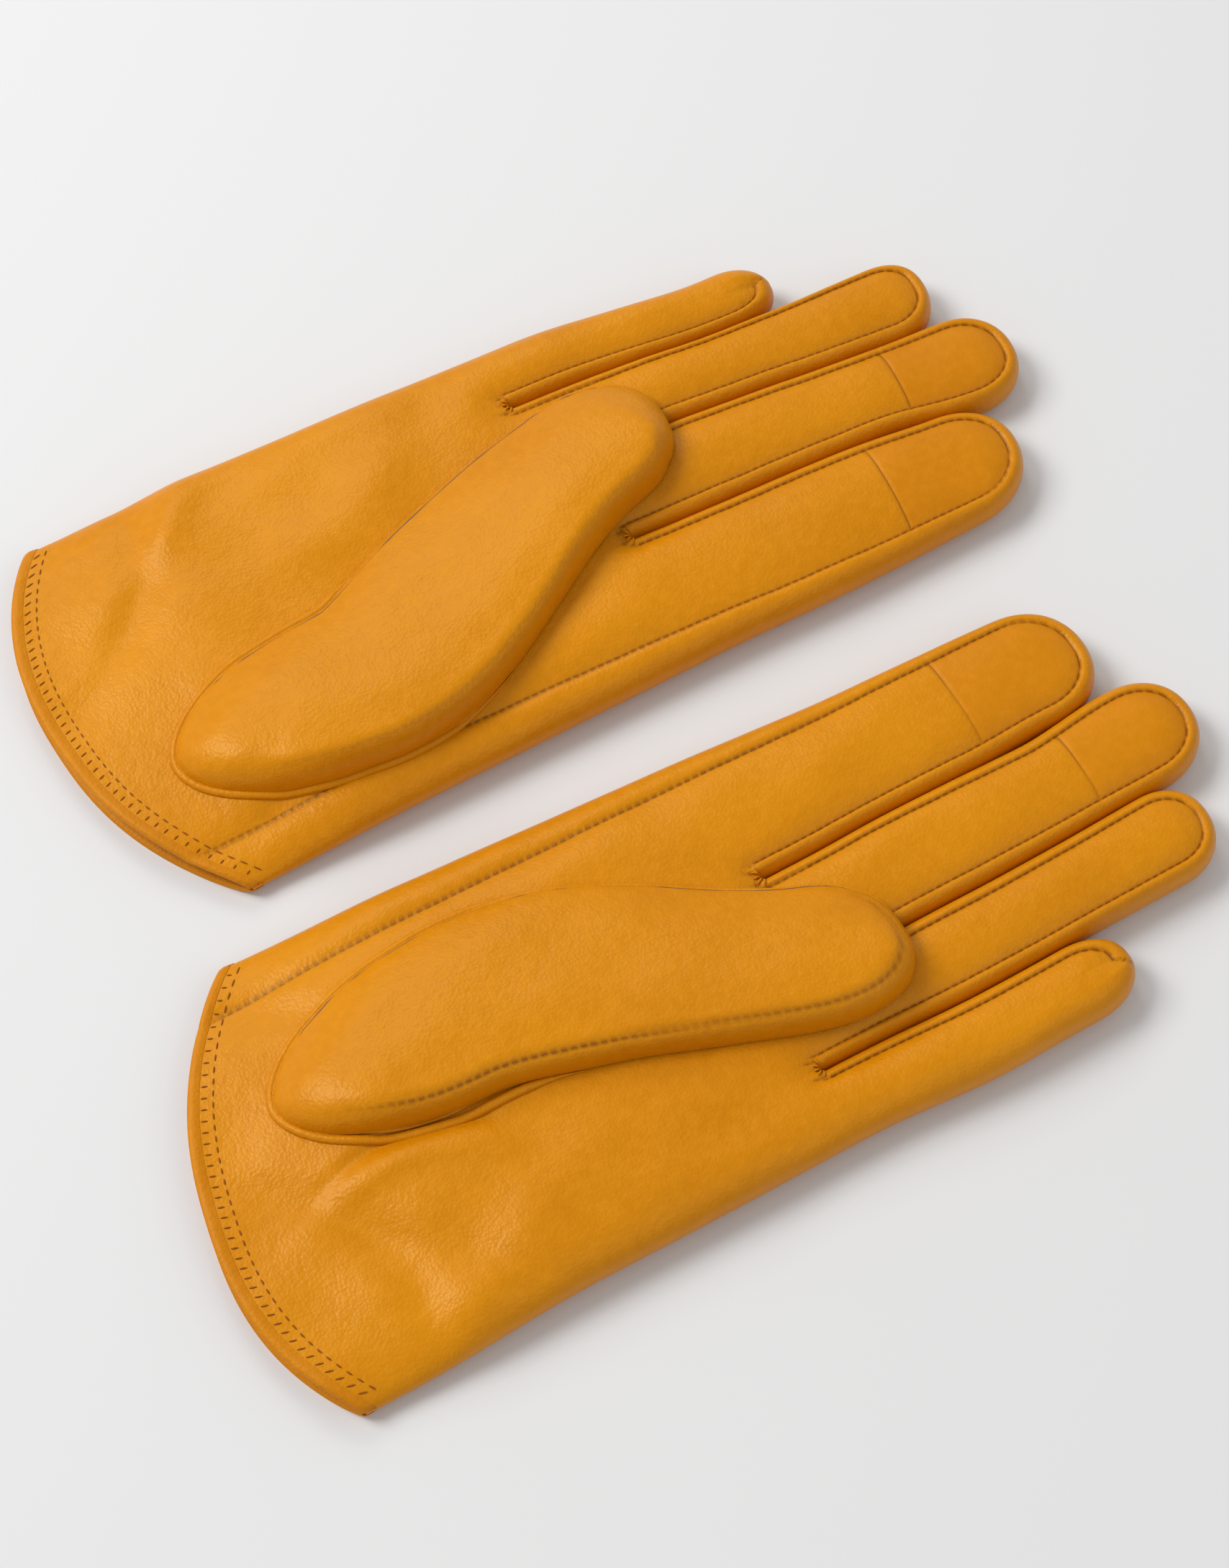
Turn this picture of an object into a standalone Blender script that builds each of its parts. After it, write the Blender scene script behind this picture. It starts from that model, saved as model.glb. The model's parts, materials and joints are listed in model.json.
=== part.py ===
"""A pair of leather dress gloves, lying palm up with the thumbs folded over the palms.

Each glove is a sewn assembly: a trank that wraps round the hand, four fingers made of front and back
panels with fourchettes between them, a set-in thumb, a turned cuff hem and a lining. The fingers bend
towards the palm at their roots, and the thumb lifts off the palm.

Glove frame: +X from the cuff to the fingertips, +Y from the index finger to the little finger, +Z up
from the back of the glove, which lies flat. Metres. The left glove is the right one mirrored in Y.
"""

import math

import bmesh
import bpy
from mathutils import Matrix, Vector

MM = 0.001

# Hand part, from the cuff to the roots of the fingers
CUFF_WIDTH = 104.6 * MM
CUFF_BULGE = 22.0 * MM          # how far the cuff's edge runs out at its middle
CUFF_SLANT = 8.6 * MM           # how far its index corner lies ahead, and its other corner behind
CUFF_ROUNDNESS = 2.4            # exponent of the cuff edge's arch
CUFF_THICKNESS = 10.0 * MM
HAND_THICKNESS = 14.0 * MM
HAND_SHIFT = 5.9 * MM           # the finger roots' middle, towards the little finger
HAND_SECTION = 3.5              # exponent of the hand's section: higher is boxier
CROWN_CLIP = 0.8 * MM           # what the flat top takes off the section's crown
FULL_THICKNESS_AT = 0.2         # share of the hand's length where it is fully thick
SIDE_SEAM_INSET = 7.0 * MM      # index side seam, in from the glove's edge
HEM_DEPTH = 15.0 * MM

# Leather and lining
LEATHER = 1.0 * MM
HEM = 0.8 * MM
LINING = 0.8 * MM
LAYER_GAP = 0.35 * MM           # between one layer and the next
SEAM_GAP = 0.4 * MM             # between two panels that are sewn together
LYING_FLAT = 0.3 * MM           # what the flat underside takes off a round section

# Fingers: where each bends, its tip, and its width at both ends
FINGER_GAP = 0.6 * MM
BEND_GAP = 0.6 * MM             # between the hand and a finger, along the glove
BEND_HEIGHT = 0.3 * MM          # the bend's axis, above the hand's top
TIP_THICKNESS = 12.0 * MM
FINGER_SECTION = 2.8
TIP_ROUNDING = 13.0 * MM        # length of a fingertip's rounded end
TIP_ROUNDNESS = 2.2
FRONT_SEAM_INSET = 3.6 * MM
BACK_SEAM_INSET = 3.0 * MM
TIP_SEAM_INSET = 4.5 * MM       # front panel's end, back from the fingertip
FINGERS = {
    "index": {"bend": 126.0 * MM, "tip": 215.5 * MM, "root_width": 35.0 * MM, "tip_width": 28.5 * MM,
              "drift": 3.4 * MM, "touch": 35.0 * MM},
    "middle": {"bend": 143.5 * MM, "tip": 228.0 * MM, "root_width": 24.8 * MM, "tip_width": 24.4 * MM,
               "drift": -0.6 * MM, "touch": 31.0 * MM},
    "ring": {"bend": 143.5 * MM, "tip": 217.0 * MM, "root_width": 19.8 * MM, "tip_width": 21.4 * MM,
             "drift": 0.0 * MM, "touch": None},
    "little": {"bend": 114.5 * MM, "tip": 182.0 * MM, "root_width": 18.2 * MM, "tip_width": 16.8 * MM,
               "drift": 0.2 * MM, "touch": None},
}

# Thumb, folded over the palm
THUMB_START = 3.0 * MM          # rounded end near the cuff, in X
THUMB_END = 141.0 * MM          # thumb tip, in X
THUMB_ROOT_WIDTH = 38.0 * MM
THUMB_TIP_WIDTH = 33.0 * MM
THUMB_LOW = 4.0 * MM            # section below its widest height
THUMB_HIGH = 9.5 * MM           # section above it
THUMB_REST_GAP = 0.4 * MM       # between the palm and the thumb lying on it
THUMB_SECTION = 2.4
THUMB_ROOT_ROUNDING = 30.0 * MM
THUMB_TIP_ROUNDING = 27.0 * MM
THUMB_SWEEP_START = 46.0 * MM   # where the thumb turns across the palm, in X
THUMB_SWEEP_END = 136.0 * MM
THUMB_SEAM_INSET = 4.0 * MM
THUMB_TIP_SEAM = 8.0 * MM       # underside's end, back from the thumb tip
THUMB_HOLE_START = 11.0 * MM    # oval hole in the palm under the thumb, in X
THUMB_HOLE_END = 74.0 * MM
THUMB_HOLE_WIDTH = 24.0 * MM
THUMB_HOLE_MARGIN = 5.0 * MM    # from the hole's end to the thumb's underside
THUMB_HINGE_SETBACK = 4.0 * MM  # the thumb's axis, behind its rounded end
WELT_RADIUS = 0.9 * MM
WELT_GAP = 0.6 * MM             # between the thumb and the welt round its root

# How the pair lies
CUFF_SPACE = 14.4 * MM          # between the two cuffs
STAGGER = 13.6 * MM             # how far the right cuff lies ahead of the left one
GLOVES = {
    "right": {"mirror": 1, "turn": math.radians(-2.3), "lean": 0.028, "thumb_root": -18.7 * MM,
              "thumb_tip": 19.5 * MM},
    "left": {"mirror": -1, "turn": math.radians(2.3), "lean": -0.028, "thumb_root": -13.5 * MM,
             "thumb_tip": 14.0 * MM},
}

LINING_OUTER = LEATHER + LAYER_GAP
HAND_WIDTH = sum(f["root_width"] for f in FINGERS.values()) + FINGER_GAP * (len(FINGERS) - 1)
BEND_Z = HAND_THICKNESS + BEND_HEIGHT
THUMB_Z = HAND_THICKNESS + THUMB_REST_GAP
TURN = 2 * math.pi
MERGE = 0.001 * MM
SAME_STEP = 1e-6                # two steps nearer than this are the same line
SEAM_STEP = 0.01                # two steps nearer than this are the two sides of a seam

LEATHER_COLOUR = (0.62, 0.26, 0.012, 1)
TOUCH_COLOUR = (0.66, 0.25, 0.006, 1)
HEM_COLOUR = (0.58, 0.25, 0.012, 1)
LINING_COLOUR = (0.48, 0.30, 0.10, 1)


# Sections and outlines

def smooth(t):
    t = min(max(t, 0.0), 1.0)
    return t * t * (3 - 2 * t)


def mix(a, b, t):
    return a + (b - a) * t


def rounded(t, roundness):
    """Width left at t of the way through a rounded end, from 1 to 0."""
    t = min(max(t, 0.0), 1.0)
    return (1 - t ** roundness) ** (1 / roundness)


def ring(angle, section):
    """Point of a unit section: angle 0 at the index side, a quarter turn at the top."""
    across, up = math.cos(angle), math.sin(angle)
    power = 2 / section
    return -math.copysign(abs(across) ** power, across), math.copysign(abs(up) ** power, up)


def top_angle(across, section):
    """Angle of the point of the section's top that lies at across, from -1 to 1."""
    return math.acos(-math.copysign(abs(across) ** (section / 2), across))


def low_angle(across, section):
    return TURN - top_angle(across, section)


def spread(start, end, count):
    return [start + (end - start) * i / count for i in range(count + 1)]


def seamed_ring(half_width, section, top_inset, low_inset, counts):
    """Angles round a tube and the names of the strips between them: a seam strip parts top, far, low and near."""
    gap = SEAM_GAP / 2 / half_width
    top = 1 - top_inset / half_width
    low = 1 - low_inset / half_width
    tops, sides, lows = counts
    top_near, top_far = top_angle(-top + gap, section), top_angle(top - gap, section)
    low_far, low_near = low_angle(low - gap, section), low_angle(-low + gap, section)
    runs = [
        ("top", [top_angle(u, section) for u in spread(-top + gap, top - gap, tops)]),
        ("far", spread(top_angle(top + gap, section), low_angle(low + gap, section), sides)),
        ("low", [low_angle(u, section) for u in spread(low - gap, -low + gap, lows)]),
        ("near", spread(low_angle(-low - gap, section), TURN + top_angle(-top - gap, section), sides)),
    ]
    angles, strips = [], []
    for name, run in runs:
        if angles:
            strips.append("seam_" + name)
        angles += run
        strips += [name] * (len(run) - 1)
    return angles + [TURN + top_near], strips + ["seam_top"]


# Shells

def shell(name, angles, strips, steps, wanted, surface, outer, inner):
    """A closed wall over the wanted cells of a grid that is laid on surface(angle, step, depth)."""
    bm = bmesh.new()
    columns, rows = len(angles) - 1, len(steps) - 1
    bmesh.ops.create_grid(bm, x_segments=columns, y_segments=rows, size=1)
    angle_layer = bm.verts.layers.float.new("angle")
    step_layer = bm.verts.layers.float.new("step")
    dropped = []
    for face in bm.faces:
        middle = face.calc_center_median()
        column = int((middle.x + 1) / 2 * columns)
        row = int((middle.y + 1) / 2 * rows)
        if not wanted(strips[column], (steps[row] + steps[row + 1]) / 2):
            dropped.append(face)
    for vert in bm.verts:
        vert[angle_layer] = angles[round((vert.co.x + 1) / 2 * columns)]
        vert[step_layer] = steps[round((vert.co.y + 1) / 2 * rows)]
    bmesh.ops.delete(bm, geom=dropped, context="FACES")
    for vert in bm.verts:
        vert.co = surface(vert[angle_layer], vert[step_layer], outer)
    bmesh.ops.remove_doubles(bm, verts=bm.verts, dist=MERGE)
    extruded = bmesh.ops.extrude_face_region(bm, geom=bm.faces[:])
    for item in extruded["geom"]:
        if isinstance(item, bmesh.types.BMVert):
            item.co = surface(item[angle_layer], item[step_layer], inner)
    bmesh.ops.recalc_face_normals(bm, faces=bm.faces[:])
    mesh = bpy.data.meshes.new(name)
    bm.to_mesh(mesh)
    bm.free()
    mesh.shade_smooth()
    mesh.set_sharp_from_angle(angle=math.radians(40))
    return mesh


def material(name, colour, roughness):
    made = bpy.data.materials.new(name)
    made.use_nodes = True
    surface = made.node_tree.nodes["Principled BSDF"]
    surface.inputs["Base Color"].default_value = colour
    surface.inputs["Roughness"].default_value = roughness
    surface.inputs["Metallic"].default_value = 0.0
    return made


def place(name, mesh, parent, colour, roughness=0.5):
    """Puts a piece, modelled in its glove's frame, under the empty that carries it."""
    mesh.transform(Matrix.Translation(-parent.location if parent.parent else Vector()))
    piece = bpy.data.objects.new(name, mesh)
    mesh.materials.append(material(name, colour, roughness))
    parts.objects.link(piece)
    piece.parent = parent
    return piece


def empty(name, location, parent=None):
    made = bpy.data.objects.new(name, None)
    made.empty_display_size = 0.02
    made.location = location
    made.parent = parent
    parts.objects.link(made)
    return made


# Hand

def cuff_x(across):
    return -CUFF_BULGE * (1 - abs(across) ** CUFF_ROUNDNESS) - CUFF_SLANT * across


def lane_edges():
    """Across the finger roots, from -1 to 1: the near edge of the middle finger and the far edge of the ring."""
    near = FINGERS["index"]["root_width"] + FINGER_GAP
    far = HAND_WIDTH - FINGERS["little"]["root_width"] - FINGER_GAP
    return near / HAND_WIDTH * 2 - 1, far / HAND_WIDTH * 2 - 1


def root_x(across):
    """The hand's end: at the index and little fingers' bends, and straight between them."""
    near, far = lane_edges()
    t = min(max((across - near) / (far - near), 0.0), 1.0)
    return mix(FINGERS["index"]["bend"], FINGERS["little"]["bend"], t) - BEND_GAP / 2


def hand_surface(glove):
    """Steps 0 to 1 run from the cuff to the finger roots, and 1 to 2 along the tab under the folded thumb."""
    def surface(angle, step, depth):
        across, up = ring(angle, HAND_SECTION)
        share = min(step, 1.0)
        x = mix(cuff_x(across), root_x(across), share)
        x = mix(x, FINGERS["middle"]["bend"] - BEND_GAP / 2, max(step - 1, 0.0))
        half_width = mix(CUFF_WIDTH, HAND_WIDTH, share) / 2 - depth
        thickness = mix(CUFF_THICKNESS, HAND_THICKNESS, smooth(share / FULL_THICKNESS_AT))
        z = thickness / 2 + up * (thickness / 2 + CROWN_CLIP - depth)
        z = min(max(z, depth), thickness - depth)
        y = HAND_SHIFT * share + across * half_width + glove["lean"] * x
        return Vector((x, glove["mirror"] * y, z))
    return surface


def hand_ring():
    """Angles round the hand, with lines at the tab's edges and a seam strip at the index side."""
    near, far = lane_edges()
    half_width = HAND_WIDTH / 2
    seam = 1 - SIDE_SEAM_INSET / half_width
    gap = SEAM_GAP / 2 / half_width
    edge = 0.93
    at_top = [top_angle(u, HAND_SECTION) for u in spread(-seam + gap, near, 3)]
    at_top += [top_angle(u, HAND_SECTION) for u in spread(near, far, 4)[1:]]
    at_top += [top_angle(u, HAND_SECTION) for u in spread(far, edge, 2)[1:]]
    round_far = spread(top_angle(edge, HAND_SECTION), low_angle(edge, HAND_SECTION), 3)[1:]
    at_low = [low_angle(u, HAND_SECTION) for u in spread(edge, far, 2)[1:]]
    at_low += [low_angle(u, HAND_SECTION) for u in spread(far, near, 4)[1:]]
    at_low += [low_angle(u, HAND_SECTION) for u in spread(near, -edge, 3)[1:]]
    round_near = spread(low_angle(-edge, HAND_SECTION), TURN + top_angle(-seam - gap, HAND_SECTION), 4)[1:]
    angles = at_top + round_far + at_low + round_near + [TURN + at_top[0]]
    strips = ["hand"] * 3 + ["tab"] * 4 + ["hand"] * 2 + ["hand"] * 3
    strips += ["hand"] * 2 + ["tab"] * 4 + ["hand"] * 3 + ["hand"] * 4 + ["seam"]
    return angles, strips


def thumb_hole_cutter(side, glove, parent):
    length = THUMB_HOLE_END - THUMB_HOLE_START
    bm = bmesh.new()
    bmesh.ops.create_cone(bm, cap_ends=True, segments=20, radius1=0.5, radius2=0.5, depth=1)
    bmesh.ops.scale(bm, vec=(length, THUMB_HOLE_WIDTH, HAND_THICKNESS), verts=bm.verts)
    centre = Vector((THUMB_HOLE_START + length / 2, glove["mirror"] * glove["thumb_root"], HAND_THICKNESS))
    bmesh.ops.translate(bm, vec=centre, verts=bm.verts)
    mesh = bpy.data.meshes.new(side + "_thumb_hole_cutter")
    bm.to_mesh(mesh)
    bm.free()
    cutter = bpy.data.objects.new(mesh.name, mesh)
    cutters.objects.link(cutter)
    cutter.parent = parent
    cutter.hide_render = True
    cutter.display_type = "WIRE"
    return cutter


def cut(piece, cutter):
    modifier = piece.modifiers.new("thumb_hole", "BOOLEAN")
    modifier.operation = "DIFFERENCE"
    modifier.solver = "EXACT"
    modifier.object = cutter


def build_hand(side, glove, parent):
    surface = hand_surface(glove)
    angles, strips = hand_ring()
    hem = HEM_DEPTH / (FINGERS["index"]["bend"] + CUFF_BULGE)
    gap = SEAM_GAP / (FINGERS["index"]["bend"] + CUFF_BULGE)
    steps = [0.0, hem, FULL_THICKNESS_AT, 0.46, 0.74, 1.0, 2.0]
    cutter = thumb_hole_cutter(side, glove, parent)

    def trank_cell(strip, step):
        return strip != "seam" and (step < 1 or strip == "tab")

    def lining_cell(strip, step):
        return step < 1 or strip == "tab"

    trank = shell(side + "_trank", angles, strips, steps, trank_cell, surface, 0.0, LEATHER)
    cut(place(side + "_trank", trank, parent, LEATHER_COLOUR), cutter)
    turned = LINING_OUTER + HEM
    band = shell(side + "_cuff_hem", angles, strips, steps[:2], lining_cell, surface, LINING_OUTER, turned)
    place(side + "_cuff_hem", band, parent, HEM_COLOUR)
    inside = LINING_OUTER + LINING
    bag = shell(side + "_hand_lining", angles, strips, [hem + gap] + steps[2:], lining_cell, surface,
                LINING_OUTER, inside)
    cut(place(side + "_hand_lining", bag, parent, LINING_COLOUR, 0.9), cutter)


# Fingers

def finger_lanes():
    """The middle of each finger's root, across the glove."""
    edge = HAND_SHIFT - HAND_WIDTH / 2
    lanes = {}
    for name, finger in FINGERS.items():
        lanes[name] = edge + finger["root_width"] / 2
        edge += finger["root_width"] + FINGER_GAP
    return lanes


def finger_surface(glove, finger, lane):
    """Steps run from 0 at the bend to 1 at the fingertip."""
    start = finger["bend"] + BEND_GAP / 2

    def surface(angle, step, depth):
        across, up = ring(angle, FINGER_SECTION)
        length = finger["tip"] - start - depth
        x = start + step * length
        rounding = TIP_ROUNDING - depth
        left = rounded(1 - (start + length - x) / rounding, TIP_ROUNDNESS)
        half_width = (mix(finger["root_width"], finger["tip_width"], step) / 2 - depth) * left
        thickness = mix(HAND_THICKNESS, TIP_THICKNESS, step)
        z = thickness / 2 + up * (thickness / 2 + LYING_FLAT - depth) * left
        z = min(max(z, depth), thickness - depth)
        y = lane + finger["drift"] * step + across * half_width + glove["lean"] * x
        return Vector((x, glove["mirror"] * y, z))
    return surface


def finger_steps(finger):
    """Lines along a finger, with a pair of lines at each seam that runs across it, and where the seams are."""
    length = finger["tip"] - finger["bend"] - BEND_GAP / 2
    gap = SEAM_GAP / 2 / length
    tip_seam = 1 - TIP_SEAM_INSET / length
    round_start = 1 - TIP_ROUNDING / length
    steps = [0.0]
    touch = None
    if finger["touch"]:
        touch = 1 - finger["touch"] / length
        steps += [touch / 2, touch - gap, touch + gap]
    else:
        steps += [round_start / 2]
    steps += [round_start, mix(round_start, tip_seam, 0.5), tip_seam - gap, tip_seam + gap]
    steps += [mix(tip_seam, 1.0, 0.55), 1.0]
    return steps, touch, tip_seam


def without_pairs(steps):
    """The same steps with the first line, not both, at each seam."""
    return [steps[0]] + [s for last, s in zip(steps, steps[1:]) if s - last > SEAM_STEP]


def without_seams(angles, strips):
    """The same ring with one line, not two, at each seam."""
    kept = [(a, s) for a, s in zip(angles, strips) if not s.startswith("seam")]
    return [a for a, s in kept] + [angles[-1]], [s for a, s in kept]


def before(step, seam):
    return step < seam - SAME_STEP


def finger_cells(name, touch, tip_seam):
    """The pieces of a finger, and the cells of the tube that each one covers."""
    wrapped = {
        "index": ("low", "seam_near", "near"),
        "little": ("low", "seam_low", "far", "seam_far", "top"),
    }.get(name, ("low",))

    def back(strip, step):
        return strip in wrapped or before(tip_seam, step)

    def front(strip, step):
        return strip == "top" and before(step, touch or tip_seam)

    def touch_tip(strip, step):
        return strip == "top" and before(touch, step) and before(step, tip_seam)

    def side(which):
        return lambda strip, step: strip == which and before(step, tip_seam)

    cells = {"wrap": back} if name == "little" else {"back": back, "front": front}
    if touch:
        cells["touch_tip"] = touch_tip
    if name != "index":
        cells["near_fourchette"] = side("near")
    if name != "little":
        cells["far_fourchette"] = side("far")
    return cells


def build_finger(side, glove, name, lane, parent):
    finger = FINGERS[name]
    at_bend = lane + glove["lean"] * finger["bend"]
    hinge = empty(f"{side}_{name}_bend", (finger["bend"], glove["mirror"] * at_bend, BEND_Z), parent)
    surface = finger_surface(glove, finger, lane)
    half_width = finger["root_width"] / 2
    angles, strips = seamed_ring(half_width, FINGER_SECTION, FRONT_SEAM_INSET, BACK_SEAM_INSET, (4, 2, 3))
    steps, touch, tip_seam = finger_steps(finger)

    for piece, chosen in finger_cells(name, touch, tip_seam).items():
        mesh = shell(f"{side}_{name}_{piece}", angles, strips, steps, chosen, surface, 0.0, LEATHER)
        place(mesh.name, mesh, hinge, TOUCH_COLOUR if piece == "touch_tip" else LEATHER_COLOUR)
    plain_angles, plain_strips = without_seams(angles, strips)
    plain_steps = without_pairs(steps)
    bag = shell(f"{side}_{name}_lining", plain_angles, plain_strips, plain_steps, lambda strip, step: True,
                surface, LINING_OUTER, LINING_OUTER + LINING)
    place(bag.name, bag, hinge, LINING_COLOUR, 0.9)


# Thumb

def thumb_surface(glove):
    """Steps run from 0 at the rounded end near the cuff to 1 at the thumb tip."""
    def surface(angle, step, depth):
        across, up = ring(angle, THUMB_SECTION)
        start, end = THUMB_START + depth, THUMB_END - depth
        x = mix(start, end, step)
        root = rounded(1 - (x - start) / (THUMB_ROOT_ROUNDING - depth), TIP_ROUNDNESS)
        tip = rounded(1 - (end - x) / (THUMB_TIP_ROUNDING - depth), TIP_ROUNDNESS)
        half_width = (mix(THUMB_ROOT_WIDTH, THUMB_TIP_WIDTH, step) / 2 - depth) * root * tip
        sweep = (x - THUMB_SWEEP_START) / (THUMB_SWEEP_END - THUMB_SWEEP_START)
        rise = glove["thumb_tip"] - glove["thumb_root"]
        middle = glove["thumb_root"] + rise * smooth(sweep)
        t = min(max(sweep, 0.0), 1.0)
        slope = rise * 6 * t * (1 - t) / (THUMB_SWEEP_END - THUMB_SWEEP_START)
        normal = Vector((-slope, 1.0)).normalized()
        low, high = (THUMB_LOW + LYING_FLAT - depth) * root * tip, (THUMB_HIGH - depth) * root * tip
        z = THUMB_LOW * root + up * (high if up > 0 else low)
        y = glove["mirror"] * (middle + normal.y * across * half_width)
        return Vector((x + normal.x * across * half_width, y, THUMB_Z + max(z, depth)))
    return surface


def welt(side, glove, parent):
    """A sewn roll on the palm round the thumb's root, laid along the thumb's outline."""
    surface = thumb_surface(glove)
    offset = -(WELT_GAP + WELT_RADIUS)
    end = (THUMB_HOLE_END - THUMB_START) / (THUMB_END - THUMB_START)
    shares = [end * (i / 12) ** 1.8 for i in range(12, 0, -1)]
    outline = [surface(math.pi, s, offset) for s in shares]
    outline.append(surface(0.0, 0.0, offset))
    outline += [surface(0.0, s, offset) for s in reversed(shares)]
    curve = bpy.data.curves.new(side + "_thumb_welt", "CURVE")
    curve.dimensions = "3D"
    curve.bevel_depth = WELT_RADIUS
    curve.bevel_resolution = 1
    curve.use_fill_caps = True
    spline = curve.splines.new("POLY")
    spline.points.add(len(outline) - 1)
    for point, where in zip(spline.points, outline):
        point.co = (where.x, where.y, HAND_THICKNESS + THUMB_REST_GAP + WELT_RADIUS, 1)
    guide = bpy.data.objects.new(curve.name, curve)
    parts.objects.link(guide)
    bpy.context.view_layer.update()
    mesh = bpy.data.meshes.new_from_object(guide.evaluated_get(bpy.context.evaluated_depsgraph_get()))
    bpy.data.objects.remove(guide)
    mesh.name = side + "_thumb_welt"
    bm = bmesh.new()
    bm.from_mesh(mesh)
    bmesh.ops.remove_doubles(bm, verts=bm.verts, dist=MERGE)
    bmesh.ops.recalc_face_normals(bm, faces=bm.faces[:])
    bm.to_mesh(mesh)
    bm.free()
    place(mesh.name, mesh, parent, HEM_COLOUR)


def build_thumb(side, glove, parent):
    axis_x = THUMB_START - THUMB_HINGE_SETBACK
    hinge = empty(side + "_thumb_lift", (axis_x, glove["mirror"] * glove["thumb_root"], THUMB_Z), parent)
    surface = thumb_surface(glove)
    length = THUMB_END - THUMB_START
    inset = THUMB_SEAM_INSET
    angles, strips = seamed_ring(THUMB_ROOT_WIDTH / 2, THUMB_SECTION, inset, inset, (5, 2, 3))
    hole = (THUMB_HOLE_END + THUMB_HOLE_MARGIN - THUMB_START) / length
    tip_seam = 1 - THUMB_TIP_SEAM / length
    gap = SEAM_GAP / 2 / length
    steps = [0.0, 0.025, 0.07, 0.13, 0.22, 0.38, hole, 0.66, 0.75, 0.83, 0.89, tip_seam - gap, tip_seam + gap]
    steps += [mix(tip_seam, 1.0, 0.6), 1.0]

    def upper(strip, step):
        return before(tip_seam, step) or strip not in ("low", "seam_low", "seam_near")

    def under(strip, step):
        return strip == "low" and hole < step and before(step, tip_seam)

    top = shell(side + "_thumb_upper", angles, strips, steps, upper, surface, 0.0, LEATHER)
    place(top.name, top, hinge, LEATHER_COLOUR)
    bottom = shell(side + "_thumb_under", angles, strips, steps, under, surface, 0.0, LEATHER)
    place(bottom.name, bottom, hinge, LEATHER_COLOUR)
    plain_angles, plain_strips = without_seams(angles, strips)
    plain_steps = without_pairs([s for s in steps if s >= hole])
    bag = shell(side + "_thumb_lining", plain_angles, plain_strips, plain_steps, lambda strip, step: True,
                surface, LINING_OUTER, LINING_OUTER + LINING)
    place(bag.name, bag, hinge, LINING_COLOUR, 0.9)
    welt(side, glove, parent)


# Pair

def build_glove(side, glove):
    ahead = glove["mirror"] * STAGGER / 2
    apart = glove["mirror"] * (CUFF_WIDTH + CUFF_SPACE) / 2
    base = empty(side + "_glove", (ahead, apart, 0.0))
    base.rotation_euler.z = glove["turn"]
    build_hand(side, glove, base)
    for name, lane in finger_lanes().items():
        build_finger(side, glove, name, lane, base)
    build_thumb(side, glove, base)
    return base


def stand_on_origin(bases):
    """Moves the pair so that its box is centred on the origin."""
    bpy.context.view_layer.update()
    exact = [piece.matrix_world @ v.co for piece in parts.objects if piece.type == "MESH"
             for v in piece.data.vertices]
    for axis in (0, 1):
        values = [point[axis] for point in exact]
        middle = (min(values) + max(values)) / 2
        for base in bases:
            base.location[axis] -= middle


def collection(name):
    made = bpy.data.collections.new(name)
    bpy.context.scene.collection.children.link(made)
    return made


for old in list(bpy.data.objects):
    bpy.data.objects.remove(old)
parts = collection("leather_gloves")
cutters = collection("leather_gloves_cutters")
stand_on_origin([build_glove(side, glove) for side, glove in GLOVES.items()])
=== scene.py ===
"""A pair of mustard leather gloves, lying palm up on a pale surface with the thumbs folded over the palms.

Every leather panel is a grid of its own, laid on one smooth height field for each glove, so that panels
meet exactly at their seams. The sizes repeat the ones that the frame was built with.
"""

import json
import math

import bmesh
import bpy
import numpy as np
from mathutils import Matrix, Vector


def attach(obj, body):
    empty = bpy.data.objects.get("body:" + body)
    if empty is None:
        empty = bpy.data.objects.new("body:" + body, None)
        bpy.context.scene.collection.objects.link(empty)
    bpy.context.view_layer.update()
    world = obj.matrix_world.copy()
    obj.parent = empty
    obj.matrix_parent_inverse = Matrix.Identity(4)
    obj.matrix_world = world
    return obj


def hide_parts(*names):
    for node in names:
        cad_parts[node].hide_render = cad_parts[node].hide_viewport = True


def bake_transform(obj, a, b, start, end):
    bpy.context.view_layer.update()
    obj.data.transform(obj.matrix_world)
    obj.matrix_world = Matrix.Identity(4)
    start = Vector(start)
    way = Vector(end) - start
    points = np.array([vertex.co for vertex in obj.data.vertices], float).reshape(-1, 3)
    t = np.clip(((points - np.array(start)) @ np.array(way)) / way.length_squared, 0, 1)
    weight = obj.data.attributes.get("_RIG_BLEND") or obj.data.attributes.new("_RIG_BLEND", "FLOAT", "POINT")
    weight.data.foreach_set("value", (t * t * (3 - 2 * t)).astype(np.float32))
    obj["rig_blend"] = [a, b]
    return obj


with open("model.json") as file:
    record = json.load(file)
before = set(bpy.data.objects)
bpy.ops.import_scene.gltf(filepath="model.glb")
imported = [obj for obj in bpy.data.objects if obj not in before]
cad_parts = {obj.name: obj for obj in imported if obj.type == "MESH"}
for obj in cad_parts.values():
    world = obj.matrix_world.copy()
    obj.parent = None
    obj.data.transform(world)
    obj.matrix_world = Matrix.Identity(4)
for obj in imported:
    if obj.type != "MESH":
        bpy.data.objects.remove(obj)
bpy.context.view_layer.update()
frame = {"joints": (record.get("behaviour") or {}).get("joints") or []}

bl_info = {
    "name": "Leather Gloves",
    "version": (1, 0, 0),
    "blender": (4, 5, 0),
    "location": "View3D > Sidebar > Gloves",
    "description": "Builds a pair of sewn leather gloves, piece by piece, on their packed frame",
    "category": "Add Mesh",
}

MM = 0.001

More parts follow.
